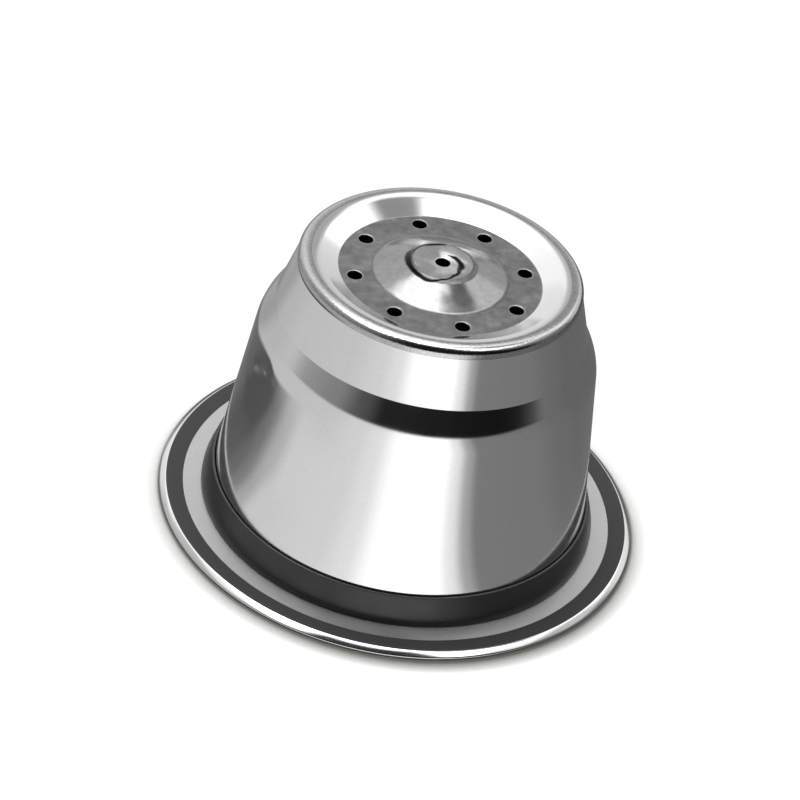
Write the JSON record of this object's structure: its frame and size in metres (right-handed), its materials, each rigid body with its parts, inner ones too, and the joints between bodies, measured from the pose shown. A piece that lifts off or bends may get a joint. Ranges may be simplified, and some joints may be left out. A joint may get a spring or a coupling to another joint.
{
  "type": "reusable coffee capsule",
  "caption": "Refillable coffee capsule: a tapered stainless steel cup with a perforated, domed end, a rolled flange and a rubber sealing ring, open at the flange side.",
  "frame": {"origin": "on the axis of the cup, in the plane of the flange's flat underside that it stands on", "axes": "+Z along the axis, from the open flange end up to the perforated end; the first hole of the ring lies 20 degrees from +X towards +Y"},
  "size_m": [0.037, 0.037, 0.0226],
  "materials": {
    "polished_steel": "polished stainless steel, drawn sheet",
    "black_rubber": "smooth black silicone rubber"
  },
  "bodies": {
    "root": {"capsule_cup": "polished_steel", "seal_ring": "black_rubber"}
  },
  "joints": []
}
